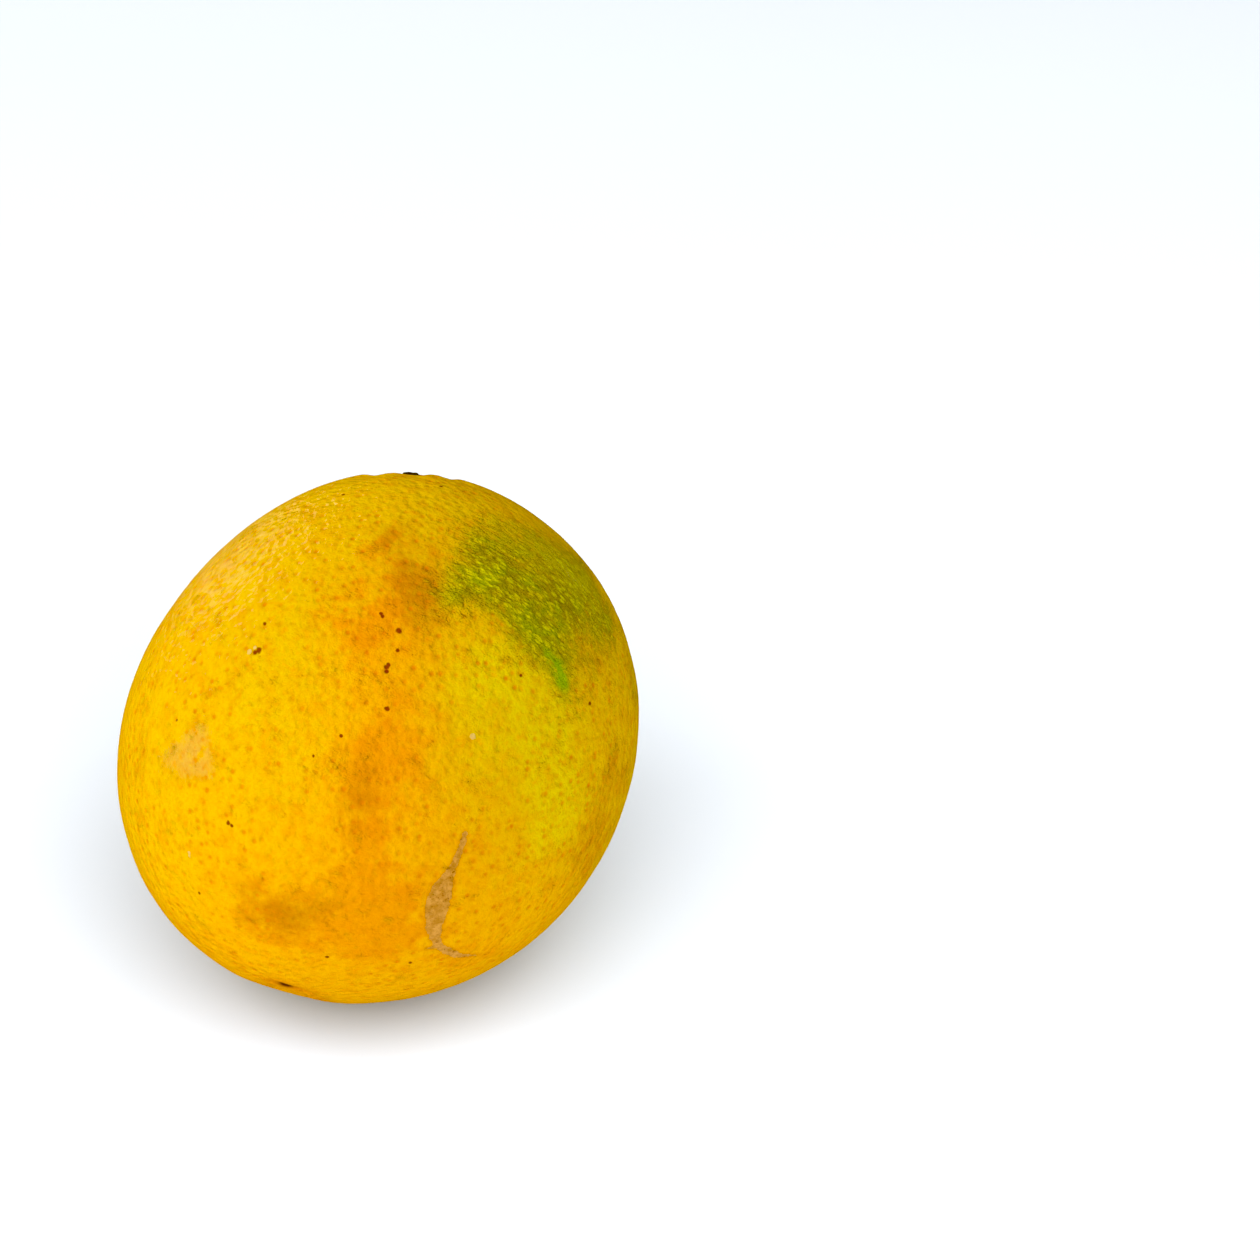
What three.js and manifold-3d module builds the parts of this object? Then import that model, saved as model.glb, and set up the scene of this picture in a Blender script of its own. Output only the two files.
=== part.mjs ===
// A whole navel orange lying on its side on a small flat spot, with the dry calyx still in its stem
// basin. Millimetres and degrees, +Z up. The origin is the middle of the flat spot that it rests on.
//
// The fruit's own frame has its origin inside the fruit and its z axis along the core, towards the stem.
// A place on the skin is given by its colatitude, the angle from the stem, and its longitude round the core.

import * as THREE from "three";
import { mergeVertices } from "three/addons/utils/BufferGeometryUtils.js";
import Module from "manifold-3d";

const wasm = await Module();
wasm.setup();

const { cos, sin, exp, PI } = Math;
const rad = THREE.MathUtils.degToRad;

// ---- Driving sizes ----------------------------------------------------------------------------------

// The whole fruit.
const fruitWidth = 76.4; // across the core
const fruitLength = 81.6; // along the core
const shoulderLift = 2.1; // how much higher one shoulder stands, and the cheek opposite it
const shoulderTowards = 4; // longitude of that shoulder
const navelOffset = 13; // how far the core bends between the stem and the navel
const navelTowards = -160; // longitude that it bends to

// Broad swellings and flats: where the middle of each is, how high it stands and how wide it spreads.
const swellings = [
  { colatitude: 10, longitude: -90, rise: 0.6, spread: 24 }, // crown beside the stem
  { colatitude: 28, longitude: 0, rise: -1.1, spread: 24 }, // flat on the high shoulder
  { colatitude: 42, longitude: 170, rise: -0.6, spread: 28 }, // flat on the low shoulder
  { colatitude: 128, longitude: 12, rise: 0.8, spread: 28 }, // cheek
  { colatitude: 166, longitude: -60, rise: -1.1, spread: 26 }, // flat beside the navel
  { colatitude: 108, longitude: 60, rise: 2, spread: 34 }, // heavy side, towards the ground
  { colatitude: 140, longitude: 130, rise: -1.2, spread: 30 }, // flat across from it
];

// How it lies: the core's angle from upright, and the heading that the stem leans to.
const coreLean = 35.5;
const leanTowards = 73.7;
const restReach = 4.8; // how far the flat spot reaches past the point below the centre of mass

// The navel: a shallow dish, and in it a ring furrow round the tip of the small second fruit.
const dishRadius = 9;
const dishDepth = 0.4;
const ringRadius = 3.6;
const ringOval = 0.14; // how far the ring is from round, as a share of its radius
const ringWidth = 1.1;
const ringDepth = 1.1;

// The calyx, five dry lobes round the cut stalk.
const calyxRadius = 4; // to the tips of its lobes
const notchDepth = 1.4; // how far the notches between them reach in
const calyxEdge = 0.5; // thickness at the tips
const calyxCrown = 0.9; // thickness round the stalk
const lobeCount = 5;
const stalkRadius = 1.3;
const stalkFoot = 0.35; // how much wider the stalk is where it joins the calyx
const stalkHeight = 1.3; // from the underside of the calyx to the cut
const stalkBevel = 0.25; // width and depth of the hollow in its cut face
const seatGap = 0.3; // clearance between the calyx and the skin under it

// The basin round the stem, with its furrows.
const basinMargin = 0.6; // floor left clear round the calyx
const basinWall = 3.4; // from the edge of the floor to the rim
const basinDepth = 1.5;
const furrowCount = 8;
const furrowDepth = 0.35;
const furrowStart = 1; // from the rim to where the furrows are deepest
const furrowSpread = 3.5;

// How finely the shapes are faceted.
const skinColumns = 64;
const skinRows = 50;
const poleCrowding = 0.6; // how much closer the rows lie at the stem and the navel
const calyxColumns = 40;
const footDepth = 0.5; // corners this close to the lowest one show where the fruit would touch the ground
const flatness = 0.005; // corners this close to the floor count as on the flat spot

// ---- Shape of the skin ------------------------------------------------------------------------------

const meanRadius = (2 * fruitWidth + fruitLength) / 6;
const basinFloor = calyxRadius + basinMargin;
const basinRim = basinFloor + basinWall;
const calyxWaist = calyxRadius - notchDepth;

// The unit vector at a colatitude and a longitude, both in radians.
const direction = (colatitude, longitude) =>
  new THREE.Vector3(
    sin(colatitude) * cos(longitude),
    sin(colatitude) * sin(longitude),
    cos(colatitude),
  );

const lobes = swellings.map(({ colatitude, longitude, rise, spread }) => ({
  middle: direction(rad(colatitude), rad(longitude)),
  rise,
  spread: rad(spread),
}));
const shoulder = direction(PI / 2, rad(shoulderTowards));
const bendAxis = direction(PI / 2, rad(navelTowards) - PI / 2);

// A smooth bump of height 1 that falls off over a width.
const bump = (distance, width) => exp(-((distance / width) ** 2));

// The skin without its two ends' details: an egg that is longer along the core, lifted on one shoulder, with
// the broad swellings added.
function plainRadius(towards) {
  let radius = fruitWidth / 2 + ((fruitLength - fruitWidth) / 2) * towards.z ** 2;
  radius += shoulderLift * 2 * towards.z * towards.dot(shoulder);
  for (const { middle, rise, spread } of lobes)
    radius += rise * exp((towards.dot(middle) - 1) / spread ** 2);
  return radius;
}

// How far the stem basin and its furrows sink, at a distance from the stem along the skin.
function basinSink(distance, longitude) {
  const basin = basinDepth * (1 - THREE.MathUtils.smoothstep(distance, basinFloor, basinRim));
  const groove = 0.5 + 0.5 * cos(furrowCount * longitude);
  return basin + furrowDepth * groove * bump(distance - basinRim - furrowStart, furrowSpread);
}

// How far the navel's dish and ring furrow sink, at a distance from the navel along the skin.
function navelSink(distance, longitude) {
  const dish = dishDepth * (1 - THREE.MathUtils.smoothstep(distance, 0, dishRadius));
  const ring = ringRadius * (1 + ringOval * cos(2 * longitude));
  return dish + ringDepth * bump(distance - ring, ringWidth);
}

// The point a height above the skin, in the fruit's frame. The core bends a little on its way to the navel.
function onSkin(colatitude, longitude, height = 0) {
  const bend = (rad(navelOffset) * (1 - cos(colatitude))) / 2;
  const towards = direction(colatitude, longitude).applyAxisAngle(bendAxis, bend);
  const sink =
    basinSink(meanRadius * colatitude, longitude) +
    navelSink(meanRadius * (PI - colatitude), longitude);
  return towards.multiplyScalar(plainRadius(towards) - sink + height);
}

// ---- Solids -----------------------------------------------------------------------------------------

// Moves every vertex of a geometry to where place(x, y, z) puts it.
function reshape(geometry, place) {
  const positions = geometry.getAttribute("position");
  for (let i = 0; i < positions.count; i++) {
    const moved = place(positions.getX(i), positions.getY(i), positions.getZ(i));
    positions.setXYZ(i, moved.x, moved.y, moved.z);
  }
  return geometry;
}

// A three.js geometry as a solid, and back.
function toSolid(geometry) {
  const plain = geometry.clone();
  plain.deleteAttribute("normal");
  plain.deleteAttribute("uv");
  const merged = mergeVertices(plain, 1e-4);
  return new wasm.Manifold(
    new wasm.Mesh({
      numProp: 3,
      vertProperties: merged.getAttribute("position").array,
      triVerts: new Uint32Array(merged.index.array),
    }),
  );
}

function toGeometry(solid) {
  const { vertProperties, triVerts } = solid.getMesh();
  const geometry = new THREE.BufferGeometry();
  geometry.setAttribute("position", new THREE.BufferAttribute(vertProperties, 3));
  geometry.setIndex(new THREE.BufferAttribute(triVerts, 1));
  geometry.computeVertexNormals();
  return geometry;
}

// How the fruit lies: its core is tipped over towards leanTowards.
const tipAxis = direction(PI / 2, rad(leanTowards) + PI / 2);
const lying = new THREE.Quaternion().setFromAxisAngle(tipAxis, rad(coreLean));

// The whole skin, turned as it lies but not yet set down.
function skinGeometry() {
  const ball = new THREE.SphereGeometry(1, skinColumns, skinRows).rotateX(PI / 2);
  return reshape(ball, (x, y, z) => {
    const even = Math.acos(THREE.MathUtils.clamp(z, -1, 1));
    const colatitude = even - (poleCrowding * sin(2 * even)) / 2;
    return onSkin(colatitude, Math.atan2(y, x)).applyQuaternion(lying);
  });
}

// The centre of mass of a closed geometry, from the wedges between its triangles and the origin.
function centreOfMass(geometry) {
  const positions = geometry.toNonIndexed().getAttribute("position");
  const corner = (i) => new THREE.Vector3().fromBufferAttribute(positions, i);
  const mass = new THREE.Vector3();
  let volume = 0;
  for (let i = 0; i < positions.count; i += 3) {
    const [a, b, c] = [corner(i), corner(i + 1), corner(i + 2)];
    const wedge = a.dot(b.clone().cross(c));
    volume += wedge;
    mass.addScaledVector(a.add(b).add(c), wedge / 4);
  }
  return mass.divideScalar(volume);
}

// The middle of the corners that lie below a height.
function middleBelow(geometry, height) {
  const box = new THREE.Box3();
  const corner = new THREE.Vector3();
  const positions = geometry.getAttribute("position");
  for (let i = 0; i < positions.count; i++) {
    corner.fromBufferAttribute(positions, i);
    if (corner.z < height) box.expandByPoint(corner);
  }
  return box.getCenter(new THREE.Vector3());
}

// The fruit with its flat spot cut, and the middle of that spot. The spot is wide enough to keep the centre
// of mass over it, and the cap that it cuts off is as deep as its radius squared over twice the fruit's.
function restingFruit() {
  const skin = skinGeometry();
  skin.computeBoundingBox();
  const lowest = skin.boundingBox.min.z;
  const aside = centreOfMass(skin).sub(middleBelow(skin, lowest + footDepth));
  const restRadius = Math.hypot(aside.x, aside.y) + restReach;
  const floor = lowest + restRadius ** 2 / (2 * meanRadius);
  const slab = new THREE.BoxGeometry(2 * fruitLength, 2 * fruitLength, fruitLength);
  slab.translate(0, 0, floor - fruitLength / 2);
  const geometry = toGeometry(toSolid(skin).subtract(toSolid(slab)));
  return { geometry, middle: middleBelow(geometry, floor + flatness).setZ(floor) };
}

// The calyx: a profile of distances from the stem and heights over the skin, carried round the stem. The share
// says how far the outline's lobes reach into each ring.
function calyxGeometry() {
  const stalkTop = seatGap + stalkHeight;
  const crownTop = seatGap + calyxCrown;
  const edgeTop = seatGap + calyxEdge;
  const profile = [
    { distance: 0, height: seatGap, share: 0 },
    { distance: stalkRadius, height: seatGap, share: 0 },
    { distance: calyxWaist, height: seatGap, share: 0.6 },
    { distance: calyxRadius, height: seatGap, share: 1 },
    { distance: calyxRadius, height: edgeTop, share: 1 },
    { distance: calyxWaist, height: (edgeTop + crownTop) / 2, share: 0.6 },
    { distance: stalkRadius + stalkFoot, height: crownTop, share: 0 },
    { distance: stalkRadius, height: crownTop + stalkFoot, share: 0 },
    { distance: stalkRadius, height: stalkTop, share: 0 },
    { distance: stalkRadius - stalkBevel, height: stalkTop, share: 0 },
    { distance: 0, height: stalkTop - stalkBevel, share: 0 },
  ];
  const rings = profile.map((_, i) => new THREE.Vector2(i === 0 || i === profile.length - 1 ? 0 : 1, i));
  const tube = new THREE.LatheGeometry(rings, calyxColumns).rotateX(PI / 2);
  return reshape(tube, (x, y, z) => {
    const { distance, height, share } = profile[Math.round(z)];
    const longitude = Math.atan2(y, x);
    const notch = (1 - calyxWaist / calyxRadius) * share * (0.5 - 0.5 * cos(lobeCount * longitude));
    return onSkin((distance * (1 - notch)) / meanRadius, longitude, height);
  });
}

// ---- The object -------------------------------------------------------------------------------------

const peelMaterial = new THREE.MeshStandardMaterial({ color: 0xf5ab10, roughness: 0.42, metalness: 0 });
const calyxMaterial = new THREE.MeshStandardMaterial({ color: 0x3b2615, roughness: 0.85, metalness: 0 });

const { geometry: fruitGeometry, middle: restMiddle } = restingFruit();
const fruit = new THREE.Mesh(fruitGeometry, peelMaterial);
fruit.name = "fruit";

const calyx = new THREE.Mesh(calyxGeometry(), calyxMaterial);
calyx.name = "calyx";
calyx.quaternion.copy(lying);

const orange = new THREE.Group();
orange.add(fruit, calyx);
orange.position.copy(restMiddle).negate();

export default orange;
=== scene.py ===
"""A whole navel orange lying on its side, as a Blender add-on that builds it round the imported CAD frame.

Lengths are in millimetres inside the formulas and in metres in the meshes and the settings. A place on the
peel is given by its colatitude, the angle from the stem, and its longitude round the core.
"""

from math import cos, pi, radians, sin
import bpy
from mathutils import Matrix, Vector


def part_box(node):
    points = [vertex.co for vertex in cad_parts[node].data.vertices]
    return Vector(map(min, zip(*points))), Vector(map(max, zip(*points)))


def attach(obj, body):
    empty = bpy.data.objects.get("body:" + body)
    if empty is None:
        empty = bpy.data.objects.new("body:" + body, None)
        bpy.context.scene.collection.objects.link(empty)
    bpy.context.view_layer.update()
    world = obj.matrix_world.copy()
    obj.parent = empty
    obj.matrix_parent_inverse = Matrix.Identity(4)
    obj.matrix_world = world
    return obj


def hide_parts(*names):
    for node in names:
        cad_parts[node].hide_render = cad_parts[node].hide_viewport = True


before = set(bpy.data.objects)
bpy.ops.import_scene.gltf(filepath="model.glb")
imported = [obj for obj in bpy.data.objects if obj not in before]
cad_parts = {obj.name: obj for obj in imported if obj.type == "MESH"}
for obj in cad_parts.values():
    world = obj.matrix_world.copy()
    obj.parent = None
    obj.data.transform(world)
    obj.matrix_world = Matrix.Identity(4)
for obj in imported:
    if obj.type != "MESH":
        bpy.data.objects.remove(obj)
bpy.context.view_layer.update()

from types import SimpleNamespace

import bpy
import numpy as np
from bpy.props import FloatProperty, FloatVectorProperty, IntProperty, PointerProperty
from bpy.types import Operator, Panel, PropertyGroup
from mathutils import Vector

bl_info = {
    "name": "Navel Orange",
    "version": (1, 0, 0),
    "blender": (4, 5, 0),
    "location": "3D View > Sidebar > Orange",
    "description": "Builds a whole navel orange with its dry calyx",
    "category": "Add Mesh",
}

MM = 0.001

# ---- Where the marks are ----

# Broad swellings and flats of the fruit: colatitude and longitude in degrees, rise in millimetres, spread in
# degrees.
SWELLINGS = (
    (10, -90, 0.6, 24),
    (28, 0, -1.1, 24),
    (42, 170, -0.6, 28),
    (128, 12, 0.8, 28),
    (166, -60, -1.1, 26),
    (108, 60, 2, 34),
    (140, 130, -1.2, 30),
)

# Washes of colour over the peel: colatitude and longitude in degrees, spread in millimetres, strength.
WASHES = {
    "amber": (
        (172, 0, 32, 1.2), (105, -88, 9, 0.7), (90, -92, 8, 0.8), (75, -95, 8, 0.8), (62, -95, 7, 0.7),
        (118, -85, 12, 0.6), (125, -55, 14, 0.5), (135, -100, 14, 0.5), (125, -20, 14, 0.4),
        (70, 60, 20, 0.7), (100, 130, 24, 0.8), (60, 170, 12, 0.4),
    ),
    "blush": (
        (66, -104, 4.5, 0.25), (69, -101, 4, 0.2), (73, -106, 4, 0.2), (65, -98, 5, 0.5), (70, -91, 5, 0.4),
        (48, -100, 4.5, 0.5), (58, -90, 4, 0.5), (85, -90, 4, 0.4), (95, -91, 5.5, 0.8), (104, -90, 5, 0.7),
        (114, -88, 5, 0.5), (122, -82, 6, 0.5), (130, -76, 6, 0.6), (137, -75, 6, 0.6), (137, -97, 7, 0.4),
        (143, -104, 6, 0.5), (133, -35, 7, 0.5), (140, -60, 7, 0.4), (95, 75, 9, 0.7), (120, 110, 12, 0.8),
        (75, 150, 8, 0.5), (140, 60, 14, 0.6), (150, 170, 12, 0.6),
    ),
    # Old bruises, and painted shade on the right side: the two broad washes at longitudes -24 and -22.
    "bruise": (
        (108, -95, 3.5, 0.35), (99, -94, 2.5, 0.3), (116, -92, 3, 0.25), (41, -96, 3, 0.35),
        (137, -101, 3.6, 0.7), (143, -108, 4, 0.5), (135, -113, 3, 0.4), (133, -92, 2.5, 0.3),
        (50, -90, 4, 0.4), (56, -89, 4.5, 0.6), (45, -100, 3, 0.4), (105, -91, 3, 0.45), (100, -79, 3, 0.3),
        (110, -158, 5, 0.4), (88, -24, 9, 0.4), (104, -22, 9, 0.45), (64, -84, 3.6, 0.5), (60, -87, 3, 0.3),
        (88, 130, 5, 0.5), (60, 100, 4, 0.4), (125, 40, 5, 0.4),
    ),
    "lemon": (
        (76, -62, 7, 0.8), (70, -69, 4, 0.5), (82, -52, 6, 0.7), (92, -47, 7, 0.7), (100, -45, 6, 0.5),
        (95, -36, 6, 0.4), (107, -42, 6, 0.3), (88, -66, 7, 0.3), (77, -73, 5, 0.5),
        (112, -28, 7, 0.2), (36, -56, 5, 0.5), (28, -80, 5, 0.3), (90, 5, 14, 0.6), (60, 10, 10, 0.4),
    ),
    "olive": (
        (52, -72, 5, 0.6), (56, -63, 5, 0.8), (48, -66, 5, 0.5), (44, -73, 4, 0.5), (60, -58, 4.5, 0.6),
        (50, -55, 4.5, 0.5), (55, -50, 5, 0.6), (58, -80, 3.5, 0.25), (65, -51, 4, 0.5), (43, -47, 6, 0.35),
        (62, -44, 5, 0.4), (40, -66, 4, 0.5), (50, -41, 6, 0.5), (52, -80, 4, 0.35), (70, -43, 4, 0.3),
        (37, -58, 5, 0.5), (34, -44, 5, 0.4), (45, -35, 6, 0.5), (56, -30, 6, 0.3), (66, -56, 3.5, 0.4),
        (48, -20, 8, 0.3), (70, -15, 8, 0.3), (61, -74, 4, 0.5), (66, -62, 4, 0.55), (70, -54, 3.5, 0.5),
        (73.5, -50, 3, 0.45), (52, -30, 7, 0.4), (61, -34, 6, 0.35), (60, -81, 4, 0.3), (42, -40, 6, 0.3),
    ),
    "leaf": (
        (70.5, -52, 2.1, 0.9), (67.5, -54, 2, 0.6), (73, -51, 1.6, 0.5), (62, -57, 2.5, 0.3),
        (50, -62, 3, 0.35), (47, -52, 3, 0.3), (56, -51, 3, 0.3), (43, -73, 2, 0.4),
    ),
    "russet": ((104, -132, 3.6, 0.9), (108, -138, 4, 0.7), (112, -148, 4, 0.4), (109, -128, 2.5, 0.5)),
    # Dull bloom and painted sheen: paler, greyer peel near the top of the green.
    "dust": (
        (31, -67, 3, 0.5), (35, -60, 3.5, 0.6), (38, -50, 4, 0.6), (43, -40, 4, 0.6), (47, -32, 5, 0.6),
        (46, -46, 4, 0.3), (54, -34, 5, 0.35),
    ),
}

# How far the edges of the washes wander, and how far apart their turns are, in millimetres.
WANDERS = ((1.6, 6), (0.6, 2.2))

# Small dark specks: colatitude and longitude in degrees, radius in millimetres.
SPECKS = (
    (78.7, -123.6, 0.5), (79.4, -124.4, 0.42), (71.8, -124.7, 0.36), (65, -97.1, 0.3), (65.6, -96.7, 0.33),
    (68.4, -92.4, 0.48), (73, -92.1, 0.34), (76.7, -93.5, 0.36), (77.4, -93.8, 0.42), (78.2, -93.6, 0.34),
    (86.4, -91.9, 0.4), (94.6, -100.1, 0.27), (100.4, -104.9, 0.24), (98.8, -141.6, 0.26),
    (119.9, -122.2, 0.36), (120.4, -121.2, 0.3), (139.3, -134.1, 0.26), (149, -83.7, 0.3),
    (143.5, -53.1, 0.34), (72.8, -63.1, 0.3), (75, -42, 0.34), (51.4, -33.3, 0.34), (21.4, -75.3, 0.34),
    (28.2, -124.7, 0.32), (80, 40, 0.4), (112, 75, 0.5), (64, 150, 0.36), (50, 80, 0.3), (135, 175, 0.4),
    (88, 110, 0.3), (102, -176, 0.34),
)

# Small pale specks of dry skin, in the same way. The first two are a painted highlight on the rim beside the
# double dark speck.
PALE_SPECKS_AND_HIGHLIGHTS = (
    (79.5, -126, 0.45), (78.2, -124.9, 0.35), (129.3, -135, 0.3), (130.1, -135.1, 0.26), (88, -72.5, 0.5),
    (70, 70, 0.4), (118, 140, 0.4),
)

# The corky scar, a trunk and its side shoots: colatitude and longitude in degrees, half width in millimetres.
SCAR = (
    ((108.6, -66.9, 0.45), (112.5, -66.2, 0.5), (116.4, -65.7, 0.6), (119.5, -65.5, 1.1), (122, -65.2, 1.7),
     (125.7, -63.4, 1.9), (128.5, -61.5, 1.7), (131.4, -59.3, 1.3), (134.8, -54.6, 0.7), (136.2, -51, 0.6)),
    ((136.2, -51, 0.6), (137, -44.8, 0.75), (137.2, -40, 0.7), (136, -34.5, 0.3), (135.1, -31.3, 0.2)),
    ((136.2, -51, 0.5), (138.2, -54.5, 0.2)),
)

# The distances to the scar's edge where its cork starts and where it is full, in millimetres.
SCAR_EDGE = (0.12, -0.12)

# The direction that the creases in the green peel run in, and how far they are drawn out along it.
STREAKS = (0.88, -0.25, -0.4)
STREAK_DRAW = 0.55

# How far each of the peel's patterns raises or sinks it over its full range, in millimetres.
RELIEF = SimpleNamespace(
    dimple=0.17, dot=0.06, dome=0.2, crease=2.2, grain=0.14, mottle=0.42, flake=0.3, scar=0.1, speck=0.1
)

# The fold at the navel's edge, in millimetres and radians: how far out from the navel's middle its dark
# opening is and at what longitude, its depth and spread, how much nearer the navel it comes over one radian,
# the turn from the opening to its deepest place, and the spreads of the crust, painted shade in the opening,
# and of the flush.
FOLD = SimpleNamespace(
    out=8.2, towards=radians(-97), depth=0.5, width=0.6, slant=2.1, lag=0.25, run=0.5,
    crust_width=0.7, crust_run=0.13, ring_crust=0.8, flush=1.8, ring_flush=2.8,
)

# The calyx's fine detail, in millimetres: the flare of the stalk's foot, the rounding of the cut's edge, the
# arch of the underside, the droop between the lobes, and the height or depth of each small unevenness. The
# pith's pit takes up a share of the cut's radius, and its dark colour has a spread.
DETAIL = SimpleNamespace(
    flare=0.35, bevel=0.12, arch=0.03, droop=0.12, rib=0.09, flute=0.04, hollow=0.16, ray=0.025,
    pith=0.1, pith_share=0.22, pith_spread=0.28, wrinkle=0.05, wrinkle_size=0.6,
)

# The greyish peel round the calyx: where it starts to fade and where it ends, in millimetres from the stem.
STEM_RING = (3.5, 9)

# The peel is flat where it rests. Its edge there is rounded over this height, in millimetres.
REST_ROUNDING = 0.1

# How finely the whole skin is sampled to find its box: from the stem to the navel, and round the core.
BOX_ROWS = 361
BOX_COLUMNS = 720

# The lamps: place in metres from the fruit's middle, and width in metres.
LAMPS = {
    "key": ((-0.75, -0.35, 0.75), 0.7),
    "rim": ((-0.6, 1.0, 0.25), 0.4),
    "floor_lamp": ((0.1, -1.0, 1.0), 2.0),
}

# ---- Numbers that look random ----


def rolled(bits, places):
    """Whole numbers with their bits rolled round to the left."""
    return (bits << np.uint32(places)) | (bits >> np.uint32(32 - places))


def first_bits(count):
    """The whole number that the mixing of so many numbers starts from."""
    return np.uint32(0xDEADBEEF + 4 * count + 13)


def stirred(a, b, c):
    """One whole number out of three, by the last rounds of Jenkins's mixing function."""
    for places in ((14, 11, 25), (16, 4, 14)):
        c = (c ^ b) - rolled(b, places[0])
        a = (a ^ c) - rolled(c, places[1])
        b = (b ^ a) - rolled(a, places[2])
    return (c ^ b) - rolled(b, 24)


def cell_numbers(cells):
    """Three numbers from 0 to 1 for each whole-numbered cell: those that the Voronoi texture node uses. The
    first is mixed from the cell's own three numbers, and the others from those three and a 1 or a 2."""
    x, y, z = np.moveaxis(np.asarray(cells, np.float32).view(np.uint32), -1, 0)
    start = first_bits(3)
    found = [stirred(start + x, start + y, start + z)]
    start = first_bits(4)
    for extra in (1.0, 2.0):
        a, b, c = start + x, start + y, start + z
        for places in (4, 6, 8, 16, 19, 4):
            a, b, c = b, c + b, (a - c) ^ rolled(c, places)
        found.append(stirred(a + np.float32(extra).view(np.uint32), b, c))
    return np.stack(found, -1) / float(0xFFFFFFFF)


def to_nearest_pore(points, scatter):
    """The distance from each point to the nearest of one point in every cell, each moved about its cell by
    the scatter: the Voronoi texture's distance at a scale of 1."""
    home = np.floor(points)
    nearest = np.full(len(points), np.inf)
    for step in np.ndindex(3, 3, 3):
        cell = home + np.array(step) - 1
        pore = cell + scatter * cell_numbers(cell)
        nearest = np.minimum(nearest, np.linalg.norm(pore - points, axis=-1))
    return nearest


def drift(points):
    """Three smooth random numbers from -1 to 1 at each point: the cell numbers at the eight corners round it,
    blended by 3t^2 - 2t^3 along each axis, doubled and less 1."""
    home = np.floor(points)
    along = points - home
    along = along * along * (3 - 2 * along)
    total = np.zeros_like(points)
    for corner in np.ndindex(2, 2, 2):
        near = np.where(corner, along, 1 - along).prod(-1)
        total += near[:, None] * cell_numbers(home + corner)
    return 2 * total - 1


# ---- The shape of the fruit ----


def bump(distance, width):
    """A smooth bump of height 1: e to the minus (distance over width) squared."""
    return np.exp(-((distance / width) ** 2))


def smooth(value, low, high):
    """0 up to low and 1 from high on, by 3t^2 - 2t^3 between them."""
    t = np.clip((value - low) / (high - low), 0, 1)
    return t * t * (3 - 2 * t)


def unit_vectors(colatitude, longitude):
    """Points of the unit ball: (sin c cos l, sin c sin l, cos c) for colatitude c and longitude l."""
    around = np.stack([np.cos(longitude), np.sin(longitude)], -1) * np.sin(colatitude)[..., None]
    return np.concatenate([around, np.cos(colatitude)[..., None]], -1)


def turned(vectors, axis, angle):
    """Vectors turned about an axis: v cos a + (axis x v) sin a + axis (axis . v) (1 - cos a)."""
    angle = np.asarray(angle)[..., None]
    along = (vectors @ axis)[..., None] * axis
    return vectors * np.cos(angle) + np.cross(axis, vectors) * np.sin(angle) + along * (1 - np.cos(angle))


def level(longitude):
    """The unit vector square to the core at a longitude."""
    return np.array([cos(longitude), sin(longitude), 0.0])


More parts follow.
